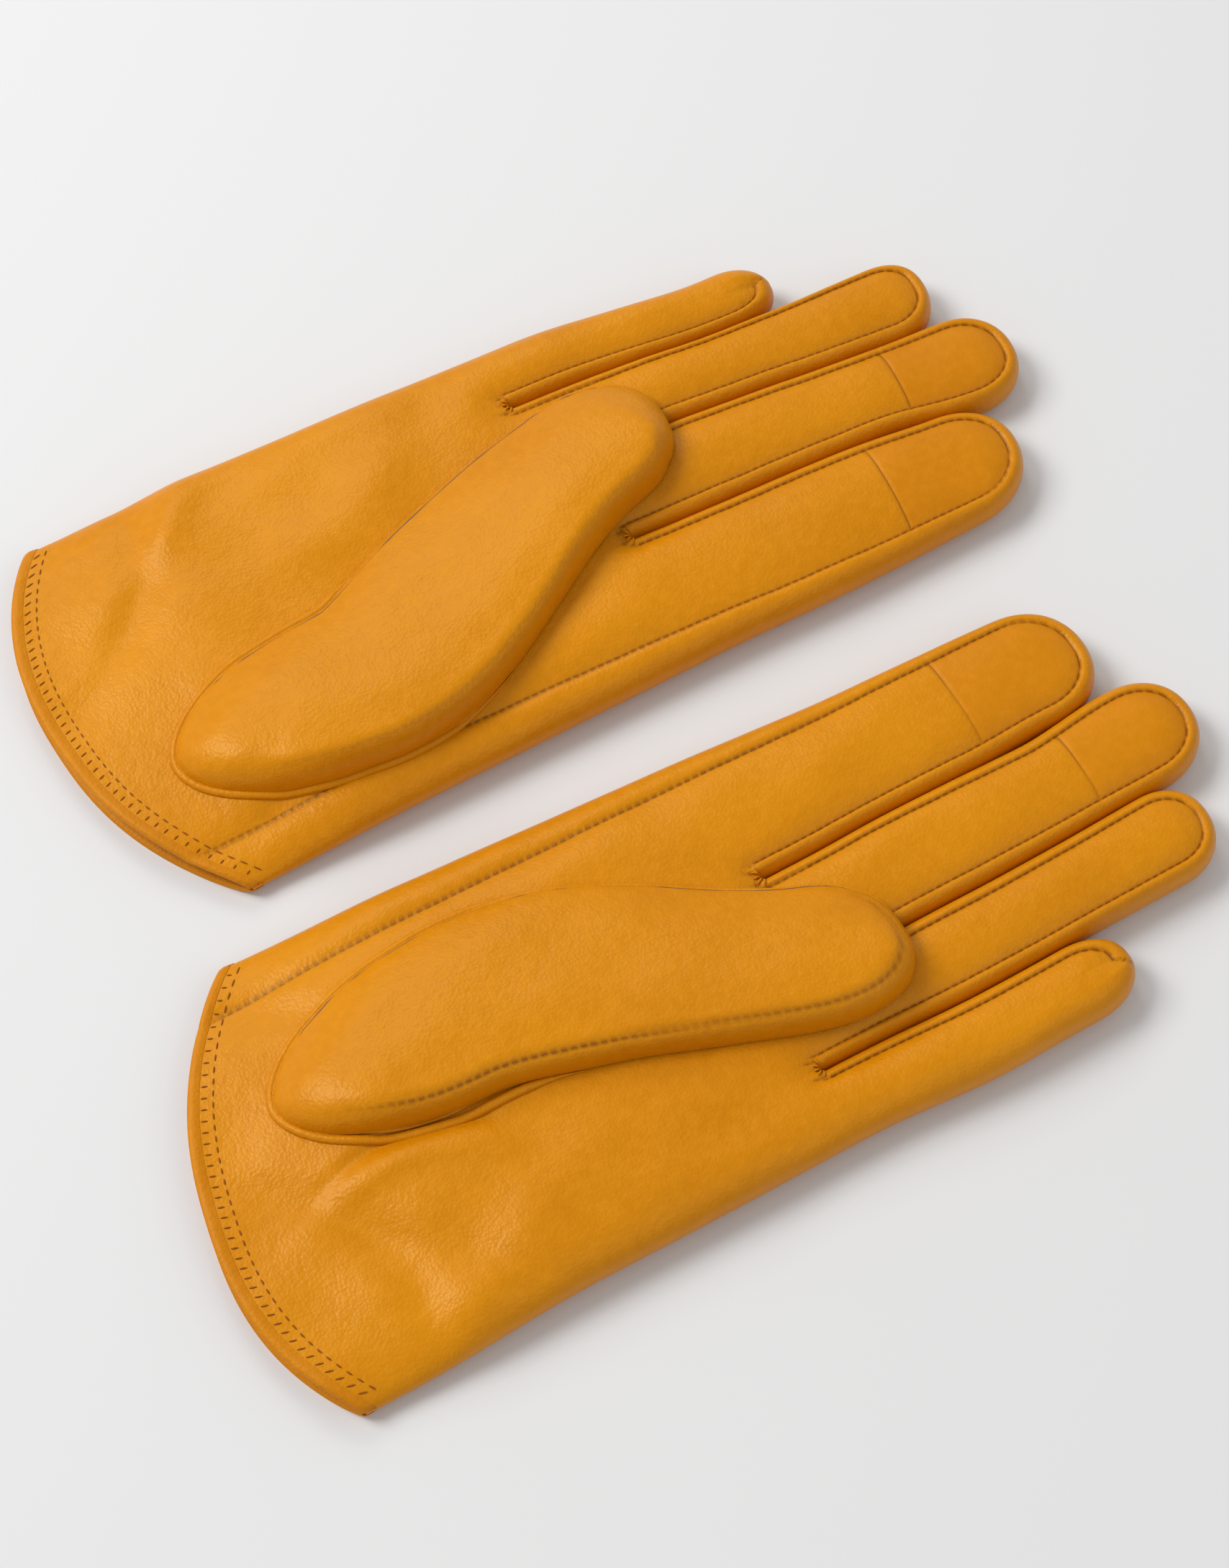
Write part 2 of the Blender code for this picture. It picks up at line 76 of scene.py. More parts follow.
# Plan of a glove: +X from cuff to fingertips, +Y from index finger to little finger
CUFF_HALF = 52.3 * MM
CUFF_BULGE = 19.8 * MM
CUFF_SLANT = 8.6 * MM
CUFF_ROUNDNESS = 2.4
INDEX_KNUCKLE = -43.9 * MM
LITTLE_KNUCKLE = 55.7 * MM
KNUCKLES = 120.0 * MM
THUMB_HINGE_X = -1.0 * MM

# Lines between the fingers: the crotch's X and Y, and a point near the tips that the line runs to
GAPS = {
    "index_middle": (121.5 * MM, -8.6 * MM, 205.0 * MM, -8.0 * MM),
    "middle_ring": (124.0 * MM, 16.9 * MM, 205.0 * MM, 15.7 * MM),
    "ring_little": (110.0 * MM, 37.3 * MM, 182.0 * MM, 38.2 * MM),
}
# Each finger: where its own piece starts, its tip, its rounding, how far its tip swells past its lane
# towards the index and the little side, and where a touch tip starts
FINGERS = {
    "index": {"start": 121.5 * MM, "bend_end": 142.0 * MM, "tip": 217.0 * MM, "round": 17.0 * MM,
              "swell": (0.0, -1.2 * MM), "touch": 181.5 * MM},
    "middle": {"start": 131.0 * MM, "bend_end": 156.0 * MM, "tip": 229.0 * MM, "round": 15.0 * MM,
               "swell": (2.6 * MM, 0.4 * MM), "touch": 197.0 * MM},
    "ring": {"start": 131.0 * MM, "bend_end": 156.0 * MM, "tip": 217.5 * MM, "round": 13.0 * MM,
             "swell": (0.0, 0.3 * MM), "touch": None},
    "little": {"start": 110.0 * MM, "bend_end": 130.0 * MM, "tip": 183.0 * MM, "round": 14.0 * MM,
               "swell": (0.0, 0.0), "touch": None},
}
LANES = ("index", "middle", "ring", "little")
SWELL_LENGTH = 26.0 * MM
TIP_ROUNDNESS = 2.2

# Heights
CUFF_HEIGHT = 7.0 * MM
HAND_HEIGHT = 12.6 * MM
TIP_HEIGHT = 11.6 * MM
MIDDLE_SHARE = 0.42
LEATHER = 0.7 * MM
STITCH_PITCH = 2.1 * MM
HEM_STITCH_PITCH = 2.3 * MM

# Seams
FOURCHETTE = 3.3 * MM
BACK_SEAM = 3.4 * MM
BACK_ROLL = 9.0 * MM
SIDE_SEAM_AT_CUFF = 12.0 * MM
SIDE_SEAM_SLOPE = 0.042

# Thumb
THUMB_START = 3.0 * MM
THUMB_END = 141.0 * MM
THUMB_ROOT_HALF = 19.0 * MM
THUMB_TIP_HALF = 16.5 * MM
THUMB_BALL = 1.9 * MM
THUMB_ROOT_ROUND = 36.0 * MM
THUMB_TIP_ROUND = 22.0 * MM
THUMB_SWEEP = (46.0 * MM, 136.0 * MM)
THUMB_HEIGHT = 8.4 * MM

GLOVES = {
    "right": {"mirror": 1, "lean": 0.028, "thumb_root": -18.7 * MM, "thumb_tip": 19.5 * MM, "steep": "near",
              "little_side": (-0.5, -4.7), "thumb_seam": 0.15, "pocket": 0.5, "thumb_spread": 6.0,
              "folds": ((12, 30, 1.2, 40, 5, -1.7), (20, -38, 0.5, 26, 4, -1.1), (22, 40, 0.9, 30, 5, 1.4),
                        (86, 44, 0.3, 46, 7, -0.9), (64, 24, 0.55, 40, 9, 1.6), (104, -30, 0.25, 30, 7, 0.8),
                        (150, 6, 0.1, 26, 6, 0.5), (165, -24, 0.0, 36, 7, 0.6), (44, 46, 0.35, 30, 5, -0.7))},
    "left": {"mirror": -1, "lean": -0.028, "thumb_root": -13.5 * MM, "thumb_tip": 14.0 * MM, "steep": "far",
             "little_side": (-2.2, -0.1), "thumb_seam": 1.0, "pocket": 2.4, "thumb_spread": 3.6,
             "folds": ((10, 24, 1.25, 44, 5, -1.8), (26, 36, 0.9, 36, 6, -1.5), (14, -34, 0.6, 22, 4, -0.7),
                       (60, 34, 0.1, 60, 10, 1.4), (84, 40, 0.5, 36, 7, -1.3), (92, -30, 0.15, 44, 8, 0.8),
                       (40, 22, 1.3, 30, 6, 0.9), (150, -26, 0.0, 34, 7, 0.6), (160, 4, 0.05, 30, 6, -0.5),
                       (27, 5.5, 0.2, 28, 2.0, -1.9), (24, 11, 0.2, 26, 3.0, 1.0))},
}


# Small maths on arrays

def smooth(t):
    t = np.clip(t, 0, 1)
    return t * t * (3 - 2 * t)


def mix(a, b, t):
    return a + (b - a) * t


def roll(t, roundness=2.2):
    """A rounded edge's height: 0 at the edge, 1 from t = 1 on."""
    t = np.clip(t, 0, 1)
    return (1 - (1 - t) ** roundness) ** (1 / roundness)


def seam_profile(q, strip, level, groove, reach=3.2 * MM):
    """Height share at q from an edge: a roll as wide as strip, a stitched groove, then the swelling panel."""
    inside = level * roll(q / strip) * (1 - groove * np.clip(q / strip, 0, 1) ** 7)
    outside = 1 - (1 - level * (1 - groove)) * np.exp(-np.clip(q - strip, 0, None) / reach)
    return np.where(q < strip, inside, outside)


def line_mark(distance, width=0.33 * MM):
    return np.exp(-(distance / width) ** 2)


# Glove plan

def near_edge(x):
    return mix(-CUFF_HALF, INDEX_KNUCKLE, x / KNUCKLES)


def far_edge(x):
    bow = 0.6 * MM * np.sin(np.clip(x / KNUCKLES, 0, 1.4) * math.pi)
    return mix(CUFF_HALF, LITTLE_KNUCKLE, x / KNUCKLES) + bow


def gap_y(name, x):
    x0, y0, x1, y1 = GAPS[name]
    return mix(y0, y1, (x - x0) / (x1 - x0))


def lane_sides(finger, x):
    """The lane's two edges at x, between its neighbours or out to the glove's own edge."""
    lows = {"index": near_edge, "middle": lambda v: gap_y("index_middle", v),
            "ring": lambda v: gap_y("middle_ring", v), "little": lambda v: gap_y("ring_little", v)}
    highs = {"index": lambda v: gap_y("index_middle", v), "middle": lambda v: gap_y("middle_ring", v),
             "ring": lambda v: gap_y("ring_little", v), "little": far_edge}
    size = FINGERS[finger]
    grow = smooth((x - (size["tip"] - size["round"] - SWELL_LENGTH)) / SWELL_LENGTH)
    return lows[finger](x) - size["swell"][0] * grow, highs[finger](x) + size["swell"][1] * grow


def side_seam(x):
    return np.maximum(SIDE_SEAM_AT_CUFF - SIDE_SEAM_SLOPE * x, FOURCHETTE)


def cuff_x(y):
    across = np.clip(y / CUFF_HALF, -1, 1)
    return -CUFF_BULGE * (1 - np.abs(across) ** CUFF_ROUNDNESS) - CUFF_SLANT * across


def thickness(x, y):
    cuff = smooth((x - cuff_x(y)) / (46 * MM))
    hand = mix(CUFF_HEIGHT, HAND_HEIGHT, cuff)
    return mix(hand, TIP_HEIGHT, smooth((x - 120 * MM) / (100 * MM)))


def fold_field(glove, x, y):
    """Soft creases and swells: each is x, y, turn, length, width and height, in millimetres and radians."""
    total = np.zeros_like(x)
    for fx, fy, turn, length, width, height in glove["folds"]:
        dx, dy = x / MM - fx, y / MM - fy
        along = dx * math.cos(turn) + dy * math.sin(turn)
        across = -dx * math.sin(turn) + dy * math.cos(turn)
        bend = across - 0.012 * along ** 2
        total += height * MM * np.exp(-(along / length * 1.6) ** 2 - (bend / width) ** 2)
    ripple = np.sin(x / MM * 0.21 + y / MM * 0.13 + glove["mirror"]) * np.sin(y / MM * 0.17 - x / MM * 0.05)
    return total + 0.22 * MM * ripple


def puckers(x, distance, amount=0.10 * MM, pitch=2.6 * MM):
    """Small gathers beside a seam."""
    return amount * np.sin(x / pitch * 2 * math.pi) * np.exp(-np.abs(distance) / (1.6 * MM))


def own_distances(finger, x, y):
    """Distances to a finger's near and far edges, both of which meet round its tip."""
    size = FINGERS[finger]
    low, high = lane_sides(finger, x)
    middle, half = (low + high) / 2, (high - low) / 2
    u = (y - middle) / half
    t = np.clip((x - (size["tip"] - size["round"])) / size["round"], 0, 1.2)
    found = []
    for way in (-1, 1):
        beside = np.clip(u * way, 0, None)
        rho = (beside ** TIP_ROUNDNESS + t ** TIP_ROUNDNESS) ** (1 / TIP_ROUNDNESS)
        found.append(np.clip(half * (1 - rho) + half * np.clip(-u * way, 0, None), 0, None))
    return found


def hand_distances(x, y):
    gaps = []
    for name, (x0, y0, x1, y1) in GAPS.items():
        gaps.append(np.hypot(np.clip(x0 - x, 0, None), y - np.where(x > x0, gap_y(name, x), y0)))
    return np.clip(y - near_edge(x), 0, None), np.clip(far_edge(x) - y, 0, None), gaps


def top_shares(finger, x, y):
    """The top's height share at each point, and how strongly its seam lines are darkened: painted shade
    inside the seams, which the shader also breaks into darker stitch dashes. finger None means the hand.
    """
    seam = side_seam(x)
    if finger is None:
        near, far, gaps = hand_distances(x, y)
        share = seam_profile(near, seam, 0.86, 0.16, 4 * MM) * roll(far / (13 * MM), 2.5)
        mark = line_mark(near - seam) * smooth((x - cuff_x(y)) / (6 * MM))
        gather = puckers(x, near - seam)
        for gap in gaps:
            share = share * seam_profile(gap, FOURCHETTE, 0.80, 0.16)
            mark = np.maximum(mark, line_mark(gap - FOURCHETTE))
            gather = gather + puckers(x, gap - FOURCHETTE)
        return share, mark, gather
    near, far = own_distances(finger, x, y)
    tip = FINGERS[finger]["tip"]
    if finger == "index":
        level = mix(0.86, 0.82, smooth((x - 150 * MM) / (40 * MM)))
        share = seam_profile(near, seam, level, 0.16, 4 * MM)
        mark = line_mark(near - seam)
        gather = puckers(x, near - seam)
    else:
        share = seam_profile(near, FOURCHETTE, 0.80, 0.16)
        mark = line_mark(near - FOURCHETTE)
        gather = puckers(x, near - FOURCHETTE)
    if finger == "little":
        width = mix(13 * MM, 7 * MM, smooth((x - 110 * MM) / (50 * MM)))
        other = roll(far / width, 2.5)
    else:
        other = seam_profile(far, FOURCHETTE, 0.80, 0.16)
        mark = np.maximum(mark, line_mark(far - FOURCHETTE))
        gather = gather + puckers(x, far - FOURCHETTE)
    round_tip = smooth((x - tip + FINGERS[finger]["round"]) / FINGERS[finger]["round"] * 3)
    closest = np.minimum(near, far)
    if finger == "little":
        at_tip = np.minimum(share, other)
    else:
        at_tip = seam_profile(closest, FOURCHETTE, 0.81, 0.16)
        mark = mix(mark, line_mark(closest - FOURCHETTE), round_tip)
        gather = gather * (1 - round_tip)
    share = mix(share * other, at_tip, round_tip)
    mark = fade_in(finger, x, mark, top_mark_of_hand(x, y))
    share = fade_in(finger, x, share, top_shares(None, x, y)[0])
    touch = FINGERS[finger]["touch"]
    if touch:
        first = seam if finger == "index" else FOURCHETTE
        on_panel = smooth((near - first) / (0.5 * MM)) * smooth((far - FOURCHETTE) / (0.5 * MM))
        share = share - 0.03 * on_panel * np.exp(-((x - touch) / (0.6 * MM)) ** 2)
        mark = np.maximum(mark, 0.85 * on_panel * line_mark(x - touch, 0.22 * MM))
    return share, mark * smooth((tip + 2 * MM - x) / (2 * MM)), gather


def fade_in(finger, x, own, hand):
    """A finger's surface starts as the hand's own, so that the two meet smoothly."""
    start = FINGERS[finger]["start"]
    return mix(hand, own, smooth((x - start - 1 * MM) / (12 * MM)))


def top_mark_of_hand(x, y):
    return top_shares(None, x, y)[1]


def low_share(finger, x, y):
    if finger is None:
        near, far, gaps = hand_distances(x, y)
        share = roll(near / BACK_ROLL) * roll(far / BACK_ROLL)
        for gap in gaps:
            share = share * seam_profile(gap, BACK_SEAM, 0.86, 0.10, 1.6 * MM)
        return share
    near, far = own_distances(finger, x, y)
    near_profile, far_profile = (seam_profile(q, BACK_SEAM, 0.86, 0.1, 1.6 * MM) for q in (near, far))
    if finger == "index":
        near_profile = roll(near / BACK_ROLL)
    if finger == "little":
        far_profile = roll(far / BACK_ROLL)
    size = FINGERS[finger]
    round_tip = smooth((x - size["tip"] + size["round"]) / size["round"] * 3)
    share = mix(near_profile * far_profile, np.minimum(near_profile, far_profile), round_tip)
    return fade_in(finger, x, share, low_share(None, x, y))


class Glove:
    """One glove's place and its surfaces."""

    def __init__(self, side):
        self.side = side
        self.facts = GLOVES[side]
        joint = next(j for j in frame["joints"] if j["name"] == side + "_thumb_lift")
        self.turn = math.atan2(joint["axis"][0], -joint["axis"][1])
        hinge = (THUMB_HINGE_X, self.facts["mirror"] * self.facts["thumb_root"])
        self.base = np.array(joint["pos_m"][:2]) - self.rotate(*hinge)

    def rotate(self, x, y):
        c, s = math.cos(self.turn), math.sin(self.turn)
        return np.stack([c * x - s * y, s * x + c * y], -1)

    def place(self, x, y, z, lean=True):
        """From the plan to the frame."""
        sideways = y
        if lean:
            early, late = self.facts["little_side"]
            bowed = early * smooth(x / (50 * MM)) * (1 - smooth((x - 110 * MM) / (40 * MM)))
            bowed = bowed + late * smooth((x - 115 * MM) / (55 * MM))
            sideways = y + self.facts["lean"] * x + bowed * MM * smooth((y - 28 * MM) / (26 * MM))
            sway = np.sin(x / (24 * MM) + y / (13 * MM) + self.facts["mirror"])
            sideways = sideways + 0.6 * MM * sway * smooth((x - 118 * MM) / (40 * MM))
        flat = self.rotate(x, self.facts["mirror"] * sideways) + self.base
        return np.concatenate([flat, z[..., None]], -1)

    def top(self, finger, x, y):
        high = thickness(x, y)
        middle = MIDDLE_SHARE * high
        share, mark, gather = top_shares(finger, x, y)
        relief = (fold_field(self.facts, x, y) + gather) * np.clip(share, 0, 1)
        return middle + (high - middle) * share + relief, mark

    def low(self, finger, x, y):
        middle = MIDDLE_SHARE * thickness(x, y)
        return middle * (1 - low_share(finger, x, y))

    def thumb_spine(self, x):
        start, end = THUMB_SWEEP
        sweep = np.clip((x - start) / (end - start), 0, 1)
        rise = self.facts["thumb_tip"] - self.facts["thumb_root"]
        slope = rise * 6 * sweep * (1 - sweep) / (end - start)
        scale = np.sqrt(1 + slope ** 2)
        return self.facts["thumb_root"] + rise * smooth(sweep), -slope / scale, 1 / scale


# Grids

def patch(bm, points, marks=None):
    """Adds a grid that takes its points, an array of rows by columns, and its seam marks, which are the
    painted seam shade and stitch lines.
    """
    rows, columns = points.shape[:2]
    made = bmesh.ops.create_grid(bm, x_segments=columns - 1, y_segments=rows - 1, size=1)
    layer = bm.verts.layers.float["seam_shade_and_stitches"]
    for vert in made["verts"]:
        i = round((vert.co.y + 1) / 2 * (rows - 1))
        j = round((vert.co.x + 1) / 2 * (columns - 1))
        if marks is not None:
            vert[layer] = marks[i, j]
        vert.co = points[i, j]
    return made["verts"]


def piece(name, patches, outward, leather=LEATHER, merge=0.02 * MM):
    """One mesh object from grids. outward is a point that lies inside, away from which its faces point."""
    bm = bmesh.new()
    bm.verts.layers.float.new("seam_shade_and_stitches")
    for points, marks in patches:
        patch(bm, points, marks)
    bmesh.ops.remove_doubles(bm, verts=bm.verts, dist=merge)
    bmesh.ops.recalc_face_normals(bm, faces=bm.faces)
    votes = 0.0
    for face in bm.faces:
        votes += face.normal.dot(face.calc_center_median() - outward) * face.calc_area()
    if votes < 0:
        bmesh.ops.reverse_faces(bm, faces=bm.faces)
    mesh = bpy.data.meshes.new(name)
    for face in bm.faces:
        face.smooth = True
    for edge in bm.edges:
        edge.smooth = not edge.is_boundary
    bm.to_mesh(mesh)
    bm.free()
    made = bpy.data.objects.new(name, mesh)
    bpy.context.scene.collection.objects.link(made)
    if leather:
        wall = made.modifiers.new("leather", "SOLIDIFY")
        wall.thickness = leather
        wall.offset = -1
    return made


def spaced(*runs):
    """Joins (start, end, count) runs into one rising list of shares."""
    values = []
    for start, end, count in runs:
        values += list(np.linspace(start, end, count, endpoint=False))
    return np.array(values + [runs[-1][1]])


STRIP_STEPS = 11
PANEL_STEPS = {"index": 24, "middle": 20, "ring": 17, "little": 16}


def cross_shares(finger, half, seam):
    """Shares of the way from a lane's edge to its middle, closest together on the roll by the edge."""
    rolled = (1 - np.cos(np.linspace(0, math.pi / 2, STRIP_STEPS + 1)))
    inner = np.linspace(0, 1, PANEL_STEPS[finger] + 1)[1:] ** 1.35
    edge = (seam / half)[..., None]
    return np.concatenate([edge * rolled, edge + (1 - edge) * inner], -1)


def lane_seams(finger, x):
    """How far the front seam lies in from the lane's two edges."""
    near = side_seam(x) if finger == "index" else np.full_like(x, FOURCHETTE)
    return near, np.full_like(x, FOURCHETTE)


def lane_columns(finger, x):
    """A lane's points from its near edge to its far edge, at each x."""
    low, high = lane_sides(finger, x)
    middle, half = (low + high) / 2, (high - low) / 2
    near_seam, far_seam = lane_seams(finger, x)
    near = cross_shares(finger, half, near_seam)
    far = cross_shares(finger, half, far_seam)
    left = low[..., None] + near * half[..., None]
    right = high[..., None] - far * half[..., None]
    return np.concatenate([left, right[..., ::-1][..., 1:]], -1)


def lane_shares(finger, x):
    """Each column's place between the lane's two edges, from 0 to 1."""
    low, high = lane_sides(finger, x)
    return (lane_columns(finger, x) - low[..., None]) / (high - low)[..., None]


WEB_ROW = 110.0 * MM


def hand_rows(finger):
    """The plan of one lane of the hand, from the cuff's curved edge to where the finger's piece starts."""
    t = spaced((0, 0.13, 12), (0.13, 1, 48))
    nominal = mix(-10 * MM, WEB_ROW, t)
    shares = lane_shares(finger, nominal)
    x = nominal[:, None] * np.ones_like(shares)
    for _ in range(5):
        low, high = lane_sides(finger, x)
        y = mix(low, high, shares)
        x = mix(cuff_x(y), WEB_ROW, t[:, None])
    low, high = lane_sides(finger, x)
    y = mix(low, high, shares)
    start = FINGERS[finger]["start"]
    if start > WEB_ROW:
        index_start = FINGERS["index"]["start"]
        runs = [(WEB_ROW, index_start, 8)]
        if start > index_start:
            runs.append((index_start, start, 7))
        beyond = spaced(*runs)[1:]
        x = np.concatenate([x, beyond[:, None] * np.ones((1, x.shape[1]))])
        y = np.concatenate([y, lane_columns(finger, beyond)])
    return x, y


def finger_rows(finger):
    """The plan of a finger: rows run up its near side, round its tip and back down its far side. Columns
    run from its outline in to its centre line."""
    size = FINGERS[finger]
    bend = size["tip"] - size["round"]
    touch = size["touch"]
    runs = [(size["start"], bend, 40)]
    if touch:
        runs = [(size["start"], touch - 1.2 * MM, 30), (touch - 1.2 * MM, touch - 0.3 * MM, 3),
                (touch - 0.3 * MM, touch, 2), (touch, touch + 0.3 * MM, 2),
                (touch + 0.3 * MM, touch + 1.2 * MM, 3), (touch + 1.2 * MM, bend, 10)]
    straight = spaced(*runs)
    low, high = lane_sides(finger, straight)
    middle, half = (low + high) / 2, (high - low) / 2
    near_seam, far_seam = lane_seams(finger, straight)
    parts = []
    for way, seam in ((-1, near_seam), (1, far_seam)):
        share = 1 - cross_shares(finger, half, seam)
        y = middle[:, None] + way * half[:, None] * share
        parts.append((straight[:, None] * np.ones_like(share), y))
    angle = np.linspace(-math.pi / 2, math.pi / 2, 43)[1:-1]
    reach = np.abs(np.cos(angle)) ** (2 / TIP_ROUNDNESS)
    side = np.sign(angle) * np.abs(np.sin(angle)) ** (2 / TIP_ROUNDNESS)
    seam = mix(near_seam[-1], far_seam[-1], (angle / math.pi) + 0.5)
    share = 1 - cross_shares(finger, half[-1] * np.ones_like(seam), seam)
    x = bend + size["round"] * reach[:, None] * share
    low, high = lane_sides(finger, x)
    y = (low + high) / 2 + (high - low) / 2 * side[:, None] * share
    x = np.concatenate([parts[0][0], x, parts[1][0][::-1]])
    y = np.concatenate([parts[0][1], y, parts[1][1][::-1]])
    turn = len(straight) + len(angle) // 2
    touch_rows = (35, len(x) - 36) if touch else None
    return x, y, turn, touch_rows


def thumb_rows(glove):
    """The plan of a thumb: rows run all the way round it, columns from its outline in to its centre line.
    Also gives each row's side, from -1 at the index finger's to 1, and each point's distance from the
    outline."""
    root, tip = THUMB_START + THUMB_ROOT_ROUND, THUMB_END - THUMB_TIP_ROUND
    along = np.linspace(root, tip, 38)
    angle = np.linspace(-math.pi / 2, math.pi / 2, 39)[1:-1]
    blunt, pointed = 2 / 2.5, 2 / 1.85
    reach, back_reach = (np.abs(np.cos(angle)) ** power for power in (blunt, pointed))
    side, back_side = (np.sign(angle) * np.abs(np.sin(angle)) ** power for power in (blunt, pointed))
    x_out = np.concatenate([along, tip + THUMB_TIP_ROUND * reach, along[::-1],
                            root - THUMB_ROOT_ROUND * back_reach[::-1]])
    ways = np.concatenate([-np.ones(len(along)), side, np.ones(len(along)), back_side[::-1]])
    x_in = np.clip(x_out, root, tip)
    w = np.concatenate([1 - np.cos(np.linspace(0, math.pi / 2, 9)), np.linspace(0, 1, 19)[1:] + 1]) / 2
    w = np.where(w < 0.5, w * 0.42, 0.21 + (w - 0.5) * 1.58)
    x = x_in[:, None] + (x_out - x_in)[:, None] * (1 - w)
    spine, across_x, across_y = glove.thumb_spine(x)
    half = mix(THUMB_ROOT_HALF, THUMB_TIP_HALF, smooth((x - root) / (tip - root)))
    half = half + THUMB_BALL * np.exp(-((x - 66 * MM) / (26 * MM)) ** 2)
    gentle_way = 1 if glove.facts["steep"] == "near" else -1
    spread = glove.facts["thumb_spread"] * MM * np.exp(-((x - 84 * MM) / (34 * MM)) ** 2)
    off = (half * ways[:, None] + spread * gentle_way * np.clip(ways * gentle_way, 0, 1)[:, None]) * (1 - w)
    plan_x = x + across_x * off
    plan_y = spine + across_y * off
    plan_x = np.concatenate([plan_x, plan_x[:1]])
    plan_y = np.concatenate([plan_y, plan_y[:1]])
    ways = np.concatenate([ways, ways[:1]])
    inset = np.concatenate([half * w, (half * w)[:1]])
    return plan_x, plan_y, ways, inset, len(along)


def thumb_points(glove):
    """A thumb's upper and under surfaces on its plan, in the frame, and its seams' marks, which are painted
    seam shade and stitch lines.
    """
    x, y, ways, inset, _ = thumb_rows(glove)
    leaned = y - glove.facts["lean"] * x
    under, _ = glove.top(None, x, leaned)
    over_fingers = thickness(x, leaned) + fold_field(glove.facts, x, leaned)
    under = mix(under, over_fingers, smooth((x - 104 * MM) / (12 * MM))) + 0.35 * MM
    steep_way = -1 if glove.facts["steep"] == "near" else 1
    gentle = smooth((1 - ways * steep_way) / 2 * 0.9 + 0.05)[:, None]
    width = mix(5.0 * MM, 11 * MM, gentle)
    share = roll(inset / width, mix(2.4, 1.6, gentle))
    seam = mix(2.6 * MM, 2.0 * MM, gentle)
    strong = (1 - gentle) * smooth((x - 10 * MM) / (30 * MM)) * glove.facts["thumb_seam"]
    share = share - 0.07 * strong * np.exp(-((inset - seam) / (0.75 * MM)) ** 2)
    swell = 0.6 * MM * np.sin(x / MM * 0.055 + 1) * share
    height = mix(7.0 * MM, THUMB_HEIGHT, smooth((x - 5 * MM) / (50 * MM)))
    sideways = ways[:, None] * -steep_way * (1 - inset / inset[:, -1:])
    height = height * (1 - 0.45 * smooth((sideways + 0.5) / 1.5))
    crest = thickness(x, leaned) + height + fold_field(glove.facts, x + 9 * MM, y) * 0.7 + swell
    upper = under + (crest - under) * np.clip(share, 0, 1)
    upper = upper + puckers(x, inset - seam) * share * strong
    mark = line_mark(inset - seam) * np.clip(strong * 1.6, 0, 1)
    return glove.place(x, y, upper, False), glove.place(x, y, under, False), mark


# The gloves' pieces

def gloves():
    return [Glove("right"), Glove("left")]


def surface(glove, finger, x, y, top=True):
    if top:
        z, mark = glove.top(finger, x, y)
        return glove.place(x, y, z), mark
    return glove.place(x, y, glove.low(finger, x, y)), None


def inside_of(glove, x, y, z=5.0 * MM, lean=True):
    return Vector(glove.place(np.array(x), np.array(y), np.array(z), lean))


def skinned(obj, glove, finger):
    """Bends the start of a finger's piece between the hand and the finger."""
    start, end = FINGERS[finger]["start"], FINGERS[finger]["bend_end"]
    low, high = lane_sides(finger, np.array(start))
    middle = (low + high) / 2
    first = glove.place(np.array(start), middle, np.array(6 * MM))
    last = glove.place(np.array(end), middle, np.array(6 * MM))
    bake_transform(obj, glove.side + "_hand", f"{glove.side}_{finger}", start=tuple(first), end=tuple(last))


def finish_piece(obj, material, slot, *nodes):
    obj.data.materials.append(material)
    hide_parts(*nodes)
    return obj


def shrink(points_piece, depth):
    """Moves a closed piece's surface inwards."""
    mesh = points_piece.data
    normals = np.array([v.normal[:] for v in mesh.vertices])
    places = np.array([v.co[:] for v in mesh.vertices])
    mesh.vertices.foreach_set("co", (places - normals * depth).ravel())
    mesh.update()


def build_hands(looks):
    for glove in gloves():
        patches = []
        for finger in LANES:
            x, y = hand_rows(finger)
            patches.append(surface(glove, None, x, y))
            patches.append(surface(glove, None, x, y, top=False))
        trank = piece(glove.side + "_palm", patches, inside_of(glove, 60 * MM, 5 * MM))
        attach(trank, glove.side + "_hand")
        finish_piece(trank, looks["leather"], "glove_leather", glove.side + "_trank")


def build_fingers(looks):
    for glove in gloves():
        for finger in LANES:
            build_finger(glove, finger, looks)


def build_finger(glove, finger, looks):
    x, y, turn, touch_rows = finger_rows(finger)
    top, marks = surface(glove, finger, x, y)
    low, _ = surface(glove, finger, x, y, top=False)
    seam = STRIP_STEPS
    prefix = f"{glove.side}_{finger}_"
    near_strip = (top[:turn + 1, :seam + 1], marks[:turn + 1, :seam + 1])
    far_strip = (top[turn:, :seam + 1], marks[turn:, :seam + 1])
    front = (top[:, seam:], marks[:, seam:])
    back = (low, None)
    pieces = {}
    if touch_rows:
        first, last = touch_rows
        pieces["touch_tip"] = [(top[first:last + 1, seam:], marks[first:last + 1, seam:])]
        pieces["front"] = [(top[:first + 1, seam:], marks[:first + 1, seam:]),
                           (top[last:, seam:], marks[last:, seam:])]
    else:
        pieces["front"] = [front]
    pieces["near_fourchette"] = [near_strip]
    pieces["far_fourchette"] = [far_strip]
    pieces["back"] = [back]
    if finger == "index":
        pieces["back"].append(near_strip)
        del pieces["near_fourchette"]
    if finger == "little":
        pieces["wrap"] = [back, front, far_strip]
        del pieces["back"], pieces["front"], pieces["far_fourchette"]
    size = FINGERS[finger]
    middle_x = (size["start"] + size["tip"]) / 2
    low_y, high_y = lane_sides(finger, np.array(middle_x))
    heart = inside_of(glove, middle_x, (low_y + high_y) / 2)
    for part, patches in pieces.items():
        made = piece(prefix + part + "_panel", patches, heart)
        skinned(made, glove, finger)
        touch = part == "touch_tip"
        finish_piece(made, looks["touch" if touch else "leather"],
                     "touch_leather" if touch else "glove_leather", prefix + part)


